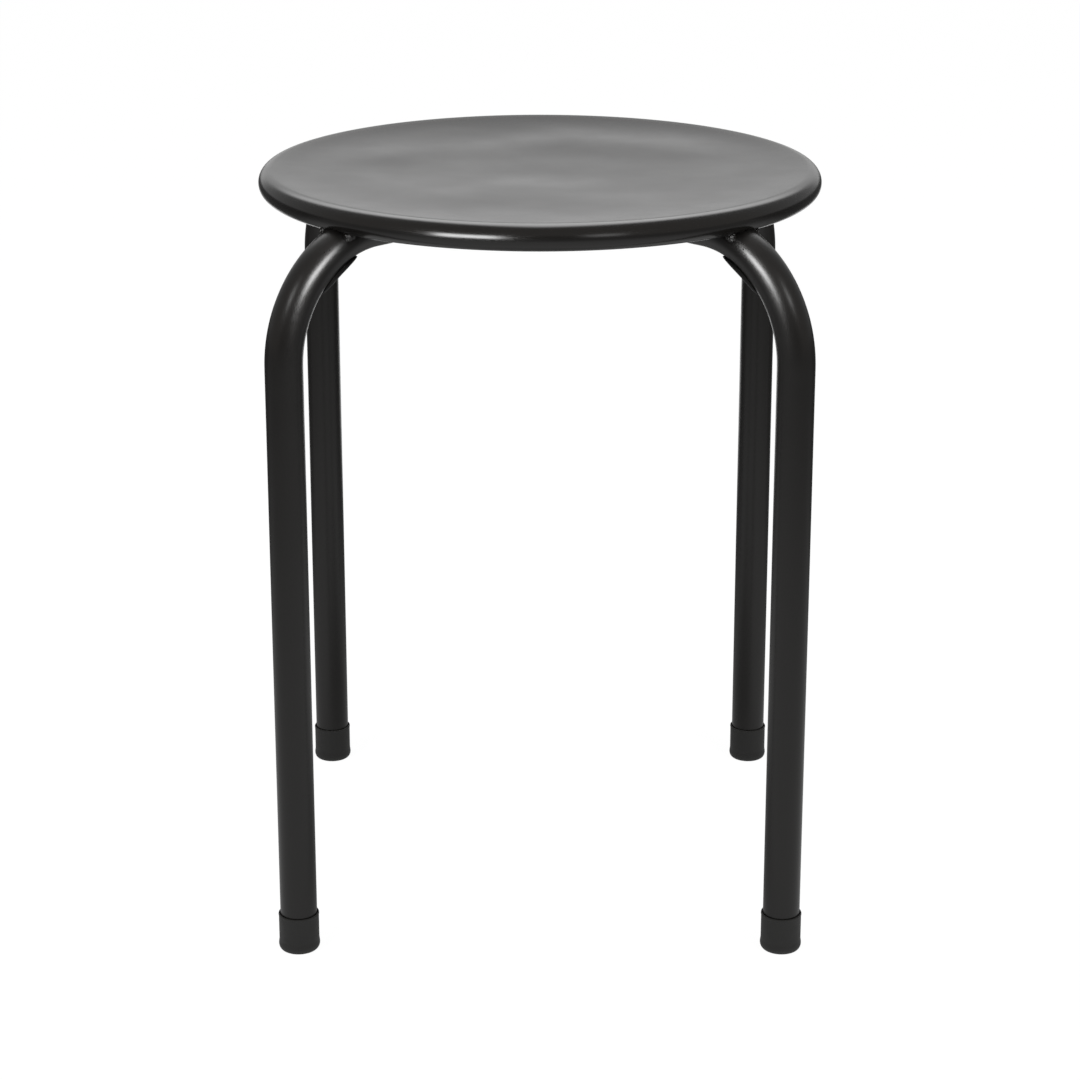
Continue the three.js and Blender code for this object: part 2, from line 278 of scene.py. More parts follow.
# Lamps: two soft lamps in front give an even light that no gloss shows. Small softboxes with grids stand
# near the stool and show in the gloss alone, each on its own pieces: the streaks and the faint lines on the
# bends, the glow on the rim, and the welds.
SOFT_LAMP_PLACE = (1.5, -1.6, 1.5)
SOFT_LAMP_AIM = (0, 0, 0.25)
SOFT_LAMP_SIZE = 1.1
SOFT_LAMP_LEVEL = 5.5
OPEN_ANGLE = 180
BEND_SPOT = (0.139, -0.147, 0.405)
STREAK_SPOT = (0.124, -0.138, 0.418)
RIM_SPOT = (0.040, -0.168, 0.4445)
WELD_SPOT = (0.116, -0.116, 0.434)

# A softbox: its name, the spot that it faces and its distance from that, its turn from the front and its
# rise in degrees, its width and height, its brightness, and the angle within which its grid lets light out.
FAINT_SOFTBOX = ("faint", BEND_SPOT, 0.25, 30, 37.4, 0.065, 0.05, 12, 24)
WELD_SOFTBOX = ("weld", WELD_SPOT, 0.3, 15, 8, 0.14, 0.12, 20, 70)
SOFTBOXES = {
    "left": (
        ("streak", STREAK_SPOT, 0.25, -45, 24.0, 0.16, 0.08, 31, 64),
        FAINT_SOFTBOX,
        ("rim_middle", RIM_SPOT, 0.2, 20, 4, 0.06, 0.10, 25, 40),
        ("rim_side", RIM_SPOT, 0.2, 37, 3, 0.07, 0.10, 26, 40),
        WELD_SOFTBOX,
    ),
    "right": (
        ("streak", STREAK_SPOT, 0.25, -52, 22.5, 0.16, 0.08, 34, 64),
        FAINT_SOFTBOX,
        ("rim_side", RIM_SPOT, 0.2, 25, 15, 0.07, 0.08, 2.5, 40),
        WELD_SOFTBOX,
    ),
}


def lamp_at(name, place, aim, width, height, brightness, grid_angle=OPEN_ANGLE):
    """A rectangular lamp that faces a point. A narrower grid lets less light out at the same brightness."""
    data = bpy.data.lights.new(name, "AREA")
    data.shape = "RECTANGLE"
    data.size = width
    data.size_y = height
    half_angle = math.radians(grid_angle) / 2
    data.spread = 2 * half_angle
    data.energy = brightness * math.pi * width * height * (1 - half_angle / math.tan(half_angle))
    lamp = bpy.data.objects.new(name, data)
    lamp.location = place
    lamp.rotation_euler = (Vector(place) - Vector(aim)).to_track_quat("Z", "Y").to_euler()
    lamp.visible_camera = False
    bpy.context.scene.collection.objects.link(lamp)
    return lamp


def towards_lamp(side, turn, rise):
    """The direction from the stool to a lamp, turned from the front to one side and raised."""
    level_share = math.cos(rise)
    return Vector((side * math.sin(turn) * level_share, -math.cos(turn) * level_share, math.sin(rise)))


lit_by = {kind: bpy.data.collections.new(f"lit_by_{kind}") for kind in ("streak", "faint", "rim", "weld")}
for side, side_name in ((-1, "left"), (1, "right")):
    x, y, z = SOFT_LAMP_PLACE
    soft = lamp_at(f"soft_lamp_{side_name}", (side * x, y, z), SOFT_LAMP_AIM, SOFT_LAMP_SIZE, SOFT_LAMP_SIZE,
                   SOFT_LAMP_LEVEL)
    soft.visible_glossy = False
    for name, (x, y, z), distance, turn, rise, width, height, brightness, grid in SOFTBOXES[side_name]:
        spot = Vector((side * x, y, z))
        place = spot + distance * towards_lamp(side, math.radians(turn), math.radians(rise))
        softbox = lamp_at(f"{name}_softbox_{side_name}", place, spot, width, height, brightness, grid)
        softbox.visible_diffuse = False
        softbox.light_linking.receiver_collection = lit_by[name.split("_")[0]]


# Leg tubes: round steel tube of 22 mm with a thin wall, bent twice to an upside-down U. Where the two cross
# under the seat, each is pressed to half its height, so that both level runs lie at the same height. The
# powder coat goes over the whole welded frame.
TUBE_RADIUS = 0.011
TUBE_WALL = 0.0012
FIT_GAP = 0.0003
BEND_RADIUS = 0.070
CROWN_HEIGHT = 0.4435
LEVEL_HEIGHT = CROWN_HEIGHT - TUBE_RADIUS
LEG_REACH = 0.205
FOOT_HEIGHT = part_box("leg_tube_front_left_to_back_right")[0].z
BEND_REACH = LEG_REACH - BEND_RADIUS
BEND_HEIGHT = LEVEL_HEIGHT - BEND_RADIUS
PRESSED_HALF_HEIGHT = (TUBE_RADIUS - FIT_GAP / 2) / 2
PRESSED_HALF_WIDTH = math.sqrt(2 * TUBE_RADIUS**2 - PRESSED_HALF_HEIGHT**2)
PRESSED_MARGIN = 0.0018
PRESSED_REACH = PRESSED_HALF_WIDTH + PRESSED_MARGIN
PRESSED_BLEND = 0.020
RING_SPACING = 0.003
TUBE_SIDES = 48
PATH_STEPS = 40
ARC_HANDLE = 4 / 3 * math.tan(math.pi / 8)
TUBE_TURNS = {"leg_tube_front_left_to_back_right": (45, 1), "leg_tube_front_right_to_back_left": (-45, -1)}
COAT_COLOUR = (0.0058, 0.0052, 0.0047)
COAT_PATCH_SCALE = 38.0
COAT_PATCH_DETAIL = 3.0
COAT_SHADES = (0.9, 1.15)
COAT_ROUGHNESS_SPREAD = (-0.015, 0.02)
COAT_PEEL_DETAIL = 2.0
COAT_PEEL_STRENGTH = 0.5
SPECK_SCALE = 900.0
SPECK_EDGE = (0.02, 0.07)
SPECK_SHARE = 0.25
SPECK_COLOUR = (0.05, 0.05, 0.048, 1)
PATCH_RANGE = (0.3, 0.7)
TUBE_PEEL_SIZE = 0.0016
TUBE_PEEL_DEPTH = 0.00002
TUBE_ROUGHNESS = 0.31


def new_finish(name):
    """A new material, its tree, its shader's inputs and the place on the piece."""
    material = bpy.data.materials.new(name)
    material.use_nodes = True
    tree = material.node_tree
    place = tree.nodes.new("ShaderNodeTexCoord").outputs["Object"]
    return material, tree, tree.nodes["Principled BSDF"].inputs, place


def noise(tree, place, scale, detail, roughness=0.5):
    """Soft noise over a piece."""
    inputs = {"Vector": place, "Scale": scale, "Detail": detail, "Roughness": roughness}
    return result(tree, "ShaderNodeTexNoise", inputs)


def mixed_colour(tree, share, first, second):
    """The first colour where the share is 0, and the second where it is 1."""
    return add_node(tree, "ShaderNodeMix", {0: share, 6: first, 7: second}, data_type="RGBA").outputs[2]


def shaded(tree, patches, colour, shades):
    """A colour that goes from a darker to a lighter shade of itself in patches."""
    darker, lighter = [[part * shade for part in colour] + [1] for shade in shades]
    return mixed_colour(tree, patches, darker, lighter)


def patchy_roughness(tree, patches, roughness, spread):
    """A roughness that varies by a small spread in patches."""
    return ramp(tree, patches, *PATCH_RANGE, roughness + spread[0], roughness + spread[1])


def dress(tree, shader, colour, roughness, grain, depth, strength):
    """Gives the shader its colour, its roughness and its fine grain."""
    feed(tree, shader["Base Color"], colour)
    feed(tree, shader["Roughness"], roughness)
    bump_inputs = {"Strength": strength, "Distance": depth, "Height": grain}
    feed(tree, shader["Normal"], result(tree, "ShaderNodeBump", bump_inputs))


def powder_coat(name, peel_size, peel_depth, roughness):
    """Satin black powder coat: nearly black, with a fine orange peel, uneven gloss and a few specks."""
    material, tree, shader, place = new_finish(name)
    patches = noise(tree, place, COAT_PATCH_SCALE, COAT_PATCH_DETAIL)
    peel = noise(tree, place, 1 / peel_size, COAT_PEEL_DETAIL)
    speck_inputs = {"Vector": place, "Scale": SPECK_SCALE}
    from_speck = add_node(tree, "ShaderNodeTexVoronoi", speck_inputs).outputs["Distance"]
    specks = product(tree, ramp(tree, from_speck, *SPECK_EDGE, 1, 0), SPECK_SHARE)
    colour = mixed_colour(tree, specks, shaded(tree, patches, COAT_COLOUR, COAT_SHADES), SPECK_COLOUR)
    uneven = patchy_roughness(tree, patches, roughness, COAT_ROUGHNESS_SPREAD)
    dress(tree, shader, colour, uneven, peel, peel_depth, COAT_PEEL_STRENGTH)
    return material


def vector(tree, x=0, y=0, z=0):
    """A vector put together from its three parts."""
    return result(tree, "ShaderNodeCombineXYZ", {0: x, 1: y, 2: z})


def new_tree(name, sizes):
    """A geometry tree that takes a curve or a mesh, with one named input for each size."""
    tree = bpy.data.node_groups.new(name, "GeometryNodeTree")
    tree.interface.new_socket("Geometry", in_out="INPUT", socket_type="NodeSocketGeometry")
    tree.interface.new_socket("Geometry", in_out="OUTPUT", socket_type="NodeSocketGeometry")
    for label, kind in sizes.items():
        tree.interface.new_socket(label, in_out="INPUT", socket_type=f"NodeSocket{kind}")
    return tree, tree.nodes.new("NodeGroupInput").outputs


def end_tree(tree, geometry, material):
    """Closes a tree: smooth faces, real geometry and its finish."""
    smooth = result(tree, "GeometryNodeSetShadeSmooth", {"Geometry": geometry})
    real = result(tree, "GeometryNodeRealizeInstances", {"Geometry": smooth})
    dressed = result(tree, "GeometryNodeSetMaterial", {"Geometry": real, "Material": material})
    add_node(tree, "NodeGroupOutput", {0: dressed})


def grown(name, data, tree, values):
    """A plain mesh object at the origin, grown from a curve or a mesh by a tree and its sizes."""
    source = bpy.data.objects.new(name + "_source", data)
    bpy.context.scene.collection.objects.link(source)
    modifier = source.modifiers.new(tree.name, "NODES")
    modifier.node_group = tree
    for item in tree.interface.items_tree:
        if item.in_out == "INPUT" and item.name in values:
            modifier[item.identifier] = values[item.name]
    depsgraph = bpy.context.evaluated_depsgraph_get()
    mesh = bpy.data.meshes.new_from_object(source.evaluated_get(depsgraph))
    bpy.data.objects.remove(source)
    finish = mesh.materials[-1]
    mesh.materials.clear()
    mesh.materials.append(finish)
    mesh.polygons.foreach_set("material_index", [0] * len(mesh.polygons))
    mesh.name = name
    piece = bpy.data.objects.new(name, mesh)
    bpy.context.scene.collection.objects.link(piece)
    return piece


def leg_path():
    """The centre line of a leg tube, from foot to foot, in the upright XZ plane."""
    handle = ARC_HANDLE * BEND_RADIUS
    half = [
        ((BEND_REACH, LEVEL_HEIGHT), (0, 0), (handle, 0)),
        ((LEG_REACH, BEND_HEIGHT), (0, handle), (0, 0)),
        ((LEG_REACH, FOOT_HEIGHT), (0, 0), (0, 0)),
    ]
    other = [((-x, z), (-out_x, out_z), (-in_x, in_z)) for (x, z), (in_x, in_z), (out_x, out_z) in half[::-1]]
    curve = bpy.data.curves.new("leg_path", "CURVE")
    curve.dimensions = "3D"
    curve.resolution_u = PATH_STEPS
    spline = curve.splines.new("BEZIER")
    spline.bezier_points.add(len(half) * 2 - 1)
    for point, ((x, z), (in_x, in_z), (out_x, out_z)) in zip(spline.bezier_points, other + half):
        point.handle_left_type = "FREE"
        point.handle_right_type = "FREE"
        point.co = (x, 0, z)
        point.handle_left = (x + in_x, 0, z + in_z)
        point.handle_right = (x + out_x, 0, z + out_z)
    return curve


def leg_tube_tree(material):
    """Sweeps a round section along the path, then presses it flat where the tubes cross."""
    sizes = {"Tube Radius": "Float", "Closed Ends": "Bool", "Over Or Under": "Float", "Turn": "Float"}
    tree, given = new_tree("Bent Leg Tube", sizes)
    spaced_inputs = {"Curve": given["Geometry"], "Length": RING_SPACING}
    spaced = result(tree, "GeometryNodeResampleCurve", spaced_inputs, mode="LENGTH")
    section_inputs = {"Resolution": TUBE_SIDES, "Radius": given["Tube Radius"]}
    section = result(tree, "GeometryNodeCurvePrimitiveCircle", section_inputs)
    sweep_inputs = {"Curve": spaced, "Profile Curve": section, "Fill Caps": given["Closed Ends"]}
    tube = result(tree, "GeometryNodeCurveToMesh", sweep_inputs)
    along, across, up = split(tree, tree.nodes.new("GeometryNodeInputPosition").outputs[0])
    blend_end = PRESSED_REACH + PRESSED_BLEND
    flatness = ramp(tree, calc(tree, "ABSOLUTE", along), PRESSED_REACH, blend_end, 1, 0)
    squeeze = ramp(tree, flatness, 0, 1, 1, PRESSED_HALF_HEIGHT / TUBE_RADIUS, "LINEAR")
    spread = calc(tree, "SQRT", calc(tree, "SUBTRACT", 2, product(tree, squeeze, squeeze)))
    lift = product(tree, calc(tree, "SUBTRACT", 1, squeeze), TUBE_RADIUS)
    from_level = calc(tree, "SUBTRACT", up, LEVEL_HEIGHT)
    pressed = calc(tree, "MULTIPLY_ADD", from_level, squeeze, LEVEL_HEIGHT)
    shifted = calc(tree, "MULTIPLY_ADD", lift, given["Over Or Under"], pressed)
    is_pressed = calc(tree, "GREATER_THAN", flatness, 0)
    moved = vector(tree, along, product(tree, across, spread), shifted)
    formed_inputs = {"Geometry": tube, "Selection": is_pressed, "Position": moved}
    formed = result(tree, "GeometryNodeSetPosition", formed_inputs)
    turned_inputs = {"Geometry": formed, "Rotation": vector(tree, z=given["Turn"])}
    end_tree(tree, result(tree, "GeometryNodeTransform", turned_inputs), material)
    return tree


def tube_sizes(radius, closed, turn, over):
    """A tube's values: its turn about +Z in degrees, and over (1) or under (-1) where the tubes cross."""
    return {"Tube Radius": radius, "Closed Ends": closed, "Over Or Under": over, "Turn": math.radians(turn)}


tube_coat = powder_coat("powder_coat_tube", TUBE_PEEL_SIZE, TUBE_PEEL_DEPTH, TUBE_ROUGHNESS)
tube_tree = leg_tube_tree(tube_coat)
for name, (turn, over) in TUBE_TURNS.items():
    tube = grown("shown_" + name, leg_path(), tube_tree, tube_sizes(TUBE_RADIUS, False, turn, over))
    wall = tube.modifiers.new("wall", "SOLIDIFY")
    wall.thickness = TUBE_WALL
    wall.offset = -1
    lit_by["streak"].objects.link(tube)
    lit_by["faint"].objects.link(tube)
    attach(tube, "root")
    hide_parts(name)


# Crossing welds: four short beads, one up each corner between the two pressed tubes, laid before the coating
# and covered by it.
CROSSING_BEAD_LENGTH = 0.0085
CROSSING_BEAD_WIDTH = 0.0062
CROSSING_BEAD_LUMPS = 0.0016
CROSSING_BEAD_INSET = 0.0012
CROSSING_BEAD_REACH = PRESSED_HALF_WIDTH * math.sqrt(2) - CROSSING_BEAD_INSET
PUDDLE_COUNT = 7
PUDDLE_SIZES = (0.72, 1.08)
PUDDLE_ROUNDNESS = 4
BEAD_VOXEL = 0.00022
BEAD_BAND = 4 * BEAD_VOXEL
BEAD_SKIN_LEVEL = 0.1
LUMP_SIZE = 0.0011
LUMP_DETAIL = 3.0
LUMP_MIDDLE = 0.5
SPATTER_RADIUS = 0.0004
SPATTER_SIZES = (0.5, 1.1)
SPATTER_ROUNDNESS = 3
WELD_PEEL_SIZE = 0.0007
WELD_PEEL_DEPTH = 0.00005
WELD_ROUGHNESS = 0.22


def seeded_noise(tree, place, seed, scale, detail):
    """Soft noise that another seed makes anew."""
    inputs = {"Vector": place, "W": seed, "Scale": scale, "Detail": detail}
    return result(tree, "ShaderNodeTexNoise", inputs, noise_dimensions="4D")


def balls_at(tree, points, radius, roundness, sizes, seed):
    """A ball at each point, each of its own random size."""
    ball = result(tree, "GeometryNodeMeshIcoSphere", {"Radius": radius, "Subdivisions": roundness})
    size_inputs = {2: sizes[0], 3: sizes[1], "Seed": seed}
    size = add_node(tree, "FunctionNodeRandomValue", size_inputs, data_type="FLOAT").outputs[1]
    inputs = {"Points": points, "Instance": ball, "Scale": size}
    return result(tree, "GeometryNodeInstanceOnPoints", inputs)


def weld_bead_tree(material):
    """Puddles that overlap in a row along X, fused to one lumpy bead, and spatter at the points given."""
    sizes = {"Length": "Float", "Width": "Float", "Lump Height": "Float", "Seed": "Int",
             "Place": "Vector", "Rotation": "Vector"}
    tree, given = new_tree("Weld Bead", sizes)
    half = calc(tree, "MULTIPLY", given["Length"], 0.5)
    row_inputs = {"Count": PUDDLE_COUNT, "Start Location": vector(tree, calc(tree, "MULTIPLY", half, -1)),
                  "Offset": vector(tree, half)}
    row = result(tree, "GeometryNodeMeshLine", row_inputs, mode="END_POINTS")
    puddle_radius = calc(tree, "MULTIPLY", given["Width"], 0.5)
    puddles = balls_at(tree, row, puddle_radius, PUDDLE_ROUNDNESS, PUDDLE_SIZES, given["Seed"])
    real = result(tree, "GeometryNodeRealizeInstances", {"Geometry": puddles})
    volume_inputs = {"Mesh": real, "Voxel Size": BEAD_VOXEL, "Interior Band Width": BEAD_BAND}
    volume = result(tree, "GeometryNodeMeshToVolume", volume_inputs, resolution_mode="VOXEL_SIZE")
    fused = result(tree, "GeometryNodeVolumeToMesh", {"Volume": volume, "Threshold": BEAD_SKIN_LEVEL})
    place = tree.nodes.new("GeometryNodeInputPosition").outputs[0]
    normal = tree.nodes.new("GeometryNodeInputNormal").outputs[0]
    lumps = seeded_noise(tree, place, given["Seed"], 1 / LUMP_SIZE, LUMP_DETAIL)
    height = product(tree, calc(tree, "SUBTRACT", lumps, LUMP_MIDDLE), given["Lump Height"])
    offset = result(tree, "ShaderNodeVectorMath", {0: normal, "Scale": height}, operation="SCALE")
    rough = result(tree, "GeometryNodeSetPosition", {"Geometry": fused, "Offset": offset})
    bead_inputs = {"Geometry": rough, "Translation": given["Place"], "Rotation": given["Rotation"]}
    bead = result(tree, "GeometryNodeTransform", bead_inputs)
    spatter = balls_at(tree, given["Geometry"], SPATTER_RADIUS, SPATTER_ROUNDNESS, SPATTER_SIZES,
                       given["Seed"])
    joined = tree.nodes.new("GeometryNodeJoinGeometry")
    tree.links.new(bead, joined.inputs[0])
    tree.links.new(spatter, joined.inputs[0])
    end_tree(tree, joined.outputs[0], material)
    return tree


weld_coat = powder_coat("powder_coat_weld", WELD_PEEL_SIZE, WELD_PEEL_DEPTH, WELD_ROUGHNESS)
bead_tree = weld_bead_tree(weld_coat)
for number, name in enumerate(("right", "back", "left", "front")):
    turn = number * math.pi / 2
    place = (CROSSING_BEAD_REACH * math.cos(turn), CROSSING_BEAD_REACH * math.sin(turn), LEVEL_HEIGHT)
    values = {"Length": CROSSING_BEAD_LENGTH - CROSSING_BEAD_WIDTH, "Width": CROSSING_BEAD_WIDTH,
              "Lump Height": CROSSING_BEAD_LUMPS, "Seed": number, "Place": place,
              "Rotation": (0, math.pi / 2, turn)}
    weld = grown(f"shown_crossing_weld_{name}", bpy.data.meshes.new("bead"), bead_tree, values)
    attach(weld, "root")
    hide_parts(f"crossing_weld_{name}")


# Seat pan: one round of 1.2 mm sheet steel, pressed to a shallow dish, with its edge rolled over and under.
# The roll has notches that let the pan sit down on the tubes. The sheet is faintly uneven from the press.
SEAT_RADIUS, _, SEAT_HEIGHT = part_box("seat_pan")[1]
SHEET = 0.0012
DISH_BOTTOM = CROWN_HEIGHT + FIT_GAP + SHEET
DISH_POWER = 3
ROLL_RADIUS = 0.008
ROLL_REACH = SEAT_RADIUS - ROLL_RADIUS
ROLL_HEIGHT = SEAT_HEIGHT - ROLL_RADIUS
CURL_END = math.radians(157.5)
DISH_STEPS = 28
CURL_STEPS = 44
SEAT_TURN_STEPS = 256
SEAT_WAVE_HEIGHT = 0.0051
SEAT_WAVE_SIZE = 0.11
SEAT_WAVE_REACH = 0.15
SEAT_WAVE_SEED = 487.0
WAVE_BASE = 0.35
WAVE_DETAIL = 1.0
WAVE_FULL_SHARE = 0.6
MERGE_DISTANCE = 0.000005
NOTCH_SHARP_ANGLE = math.radians(35)
SEAT_PEEL_SIZE = 0.0018
SEAT_PEEL_DEPTH = 0.000012
SEAT_ROUGHNESS = 0.22


def pan_side(inset):
    """One face of the sheet, from the middle of the dish over the roll to the end of the curl."""
    radius = ROLL_RADIUS - inset
    slope = math.atan(DISH_POWER * (SEAT_HEIGHT - DISH_BOTTOM) / ROLL_REACH)
    start = math.pi / 2 + slope
    edge_reach = ROLL_REACH + radius * math.cos(start)
    edge_height = ROLL_HEIGHT + radius * math.sin(start)
    middle = DISH_BOTTOM - inset
    side = []
    for step in range(DISH_STEPS):
        share = step / DISH_STEPS
        side.append((edge_reach * share, 0, middle + (edge_height - middle) * share**DISH_POWER))
    for step in range(CURL_STEPS + 1):
        angle = start + (-CURL_END - start) * step / CURL_STEPS
        side.append((ROLL_REACH + radius * math.cos(angle), 0, ROLL_HEIGHT + radius * math.sin(angle)))
    return side


def line_curve(name, points):
    """A plain run of straight lines through points."""
    curve = bpy.data.curves.new(name, "CURVE")
    curve.dimensions = "3D"
    spline = curve.splines.new("POLY")
    spline.points.add(len(points) - 1)
    for target, point in zip(spline.points, points):
        target.co = (*point, 1)
    return curve


def turned_tree(material):
    """Turns a section, given as points from the axis and back to it, about +Z and sets it in its place."""
    sizes = {"Turn Steps": "Int", "Reach": "Float", "Turn": "Float", "Wave Height": "Float",
             "Wave Size": "Float", "Wave Reach": "Float", "Seed": "Float"}
    tree, given = new_tree("Turned From A Section", sizes)
    count_inputs = {"Geometry": given["Geometry"]}
    count = result(tree, "GeometryNodeAttributeDomainSize", count_inputs, component="CURVE")
    columns = calc(tree, "ADD", given["Turn Steps"], 1)
    grid_inputs = {"Size X": 1.0, "Size Y": 1.0, "Vertices X": columns, "Vertices Y": count}
    grid = result(tree, "GeometryNodeMeshGrid", grid_inputs)
    position = tree.nodes.new("GeometryNodeInputPosition").outputs[0]
    column, row, _ = split(tree, position)
    angle = calc(tree, "MULTIPLY", column, -2 * math.pi)
    last = calc(tree, "SUBTRACT", count, 1)
    station = calc(tree, "ROUND", product(tree, calc(tree, "ADD", row, 0.5), last))
    sample_inputs = {"Geometry": given["Geometry"], "Value": position, "Index": station}
    sample = result(tree, "GeometryNodeSampleIndex", sample_inputs, data_type="FLOAT_VECTOR")
    reach, _, height = split(tree, sample)
    across = product(tree, reach, calc(tree, "COSINE", angle))
    deep = product(tree, reach, calc(tree, "SINE", angle))
    wave_scale = calc(tree, "DIVIDE", 1, given["Wave Size"])
    waves = seeded_noise(tree, vector(tree, across, deep), given["Seed"], wave_scale, WAVE_DETAIL)
    full_reach = calc(tree, "MULTIPLY", given["Wave Reach"], WAVE_FULL_SHARE)
    within = ramp(tree, reach, full_reach, given["Wave Reach"], 1, 0)
    swing = product(tree, calc(tree, "SUBTRACT", waves, WAVE_BASE), given["Wave Height"])
    turned = vector(tree, across, deep, calc(tree, "MULTIPLY_ADD", swing, within, height))
    skin = result(tree, "GeometryNodeSetPosition", {"Geometry": grid, "Position": turned})
    closed = result(tree, "GeometryNodeMergeByDistance", {"Geometry": skin, "Distance": MERGE_DISTANCE})
    moved_inputs = {"Geometry": closed, "Translation": vector(tree, given["Reach"])}
    moved = result(tree, "GeometryNodeTransform", moved_inputs)
    placed_inputs = {"Geometry": moved, "Rotation": vector(tree, z=given["Turn"])}
    end_tree(tree, result(tree, "GeometryNodeTransform", placed_inputs), material)
    return tree


def cut_away(piece, cutters):
    """Cuts the shapes out of a piece for good, and keeps the edges of the cut crisp."""
    for cutter in cutters:
        cut = piece.modifiers.new("notch", "BOOLEAN")
        cut.operation = "DIFFERENCE"
        cut.object = cutter
    depsgraph = bpy.context.evaluated_depsgraph_get()
    mesh = bpy.data.meshes.new_from_object(piece.evaluated_get(depsgraph))
    piece.modifiers.clear()
    piece.data = mesh
    mesh.set_sharp_from_angle(angle=NOTCH_SHARP_ANGLE)
    for cutter in cutters:
        bpy.data.objects.remove(cutter)


seat_coat = powder_coat("powder_coat_seat", SEAT_PEEL_SIZE, SEAT_PEEL_DEPTH, SEAT_ROUGHNESS)
pan_section = pan_side(0) + pan_side(SHEET)[::-1]
values = {"Turn Steps": SEAT_TURN_STEPS, "Wave Height": SEAT_WAVE_HEIGHT, "Wave Size": SEAT_WAVE_SIZE,
          "Wave Reach": SEAT_WAVE_REACH, "Seed": SEAT_WAVE_SEED}
pan = grown("shown_seat_pan", line_curve("pan_section", pan_section), turned_tree(seat_coat), values)
notches = []
for turn, over in TUBE_TURNS.values():
    values = tube_sizes(TUBE_RADIUS + FIT_GAP, True, turn, over)
    notches.append(grown("notch", leg_path(), tube_tree, values))
cut_away(pan, notches)
lit_by["rim"].objects.link(pan)
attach(pan, "root")
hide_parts("seat_pan")


# Rim welds: a short rough bead on each side of each tube, in the corner where the rolled rim meets it.
# They are laid by hand, so no two are alike, and a few balls of spatter stick beside them.
RIM_BEAD_LENGTH = 0.0092
RIM_BEAD_WIDTH = 0.0060
RIM_BEAD_LUMPS = 0.0026
RIM_BEAD_SIDEWAYS = 0.0100
RIM_BEAD_OUTSET = 0.0005
RIM_BEAD_REACH = ROLL_REACH + RIM_BEAD_OUTSET
RIM_BEAD_DROP = 0.0006
RIM_BEAD_HEIGHT = SEAT_HEIGHT - 2 * ROLL_RADIUS - RIM_BEAD_DROP
RIM_BEAD_SLOPE = math.radians(24)
RIM_FIRST_SEED = 11
SPATTER_COUNT = 4
SPATTER_ALONG = (25, 35)
SPATTER_AROUND = (45, 85)
CORNER_TURNS = {"back_right": 45, "back_left": 135, "front_left": 225, "front_right": 315}
CORNER_SIDES = {"back_right": ("back", "right"), "back_left": ("left", "back"),
                "front_left": ("front", "left"), "front_right": ("right", "front")}
UP = Vector((0, 0, 1))


def corner_directions(turn):
    """Outwards along a leg's level run, and square to it towards the left of one who looks outwards."""
    return Vector((math.cos(turn), math.sin(turn), 0)), Vector((-math.sin(turn), math.cos(turn), 0))


def spatter_points(turn, side, seed):
    """Points on one flank of a tube, just outside the rim, where balls of spatter stick."""
    draw = random.Random(seed)
    out, left = corner_directions(turn)
    points = []
    for _ in range(SPATTER_COUNT):
        along = math.radians(draw.uniform(*SPATTER_ALONG))
        around = math.radians(draw.uniform(*SPATTER_AROUND))
        away = math.sin(along) * out + math.cos(along) * UP
        centre = BEND_REACH * out + BEND_HEIGHT * UP + BEND_RADIUS * away
        points.append(centre + TUBE_RADIUS * (math.cos(around) * away + side * math.sin(around) * left))
    mesh = bpy.data.meshes.new("spatter")
    mesh.from_pydata(points, [], [])
    return mesh


for number, (corner, sides) in enumerate(CORNER_SIDES.items()):
    turn = math.radians(CORNER_TURNS[corner])
    out, left = corner_directions(turn)
    for step, (name, side) in enumerate(zip(sides, (1, -1))):
        place = RIM_BEAD_REACH * out + side * RIM_BEAD_SIDEWAYS * left + RIM_BEAD_HEIGHT * UP
        values = {"Length": RIM_BEAD_LENGTH - RIM_BEAD_WIDTH, "Width": RIM_BEAD_WIDTH,
                  "Lump Height": RIM_BEAD_LUMPS, "Seed": RIM_FIRST_SEED + 2 * number + step,
                  "Place": place, "Rotation": (0, RIM_BEAD_SLOPE, turn)}
        spatter = spatter_points(turn, side, values["Seed"])
        weld = grown(f"shown_rim_weld_{corner}_{name}", spatter, bead_tree, values)
        for kind in ("streak", "faint", "weld"):
            lit_by[kind].objects.link(weld)
        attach(weld, "root")
        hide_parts(f"rim_weld_{corner}_on_{name}")


# Foot caps: moulded cups of soft black plastic, pushed over the tube ends. The mouth has a small rounded lip,
# and the wall swells a little above the rounded base, which wears grey where it stands.
CAP_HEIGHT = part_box("foot_cap_front_left")[1].z
CAP_FLOOR = 0.003
CAP_BORE = TUBE_RADIUS + FIT_GAP
CAP_WALL = 0.0007
CAP_SIDE = CAP_BORE + CAP_WALL
CAP_LIP = 0.0002
CAP_LIP_HEIGHT = 0.0016
CAP_FLARE = 0.00035
CAP_FLARE_HEIGHT = 0.0072
CAP_CORNER_WIDTH = 0.0025
CAP_CORNER_HEIGHT = 0.0036
CAP_MOUTH_BEVEL = 0.0004
CAP_MOUTH_POWER = 4
CAP_STEPS = 10
CAP_TURN_STEPS = 96
CAP_SHARP_ANGLE = math.radians(40)
CAP_COLOUR = (0.012, 0.012, 0.0115)
CAP_ROUGHNESS = 0.55
CAP_GRAIN_SIZE = 0.0006
CAP_GRAIN_DEPTH = 0.00003
CAP_SCUFF_HEIGHT = 0.004
PLASTIC_DETAIL = 4.0
PLASTIC_PATCH_SCALE = 160.0
PLASTIC_PATCH_ROUGHNESS = 0.7
PLASTIC_SHADES = (0.8, 1.25)
PLASTIC_ROUGHNESS_SPREAD = (-0.04, 0.06)
PLASTIC_GRAIN_STRENGTH = 0.6
SCUFF_EDGE = (0.42, 0.7)
SCUFF_SHARE = 0.5
SCUFF_COLOUR = (0.06, 0.059, 0.056, 1)


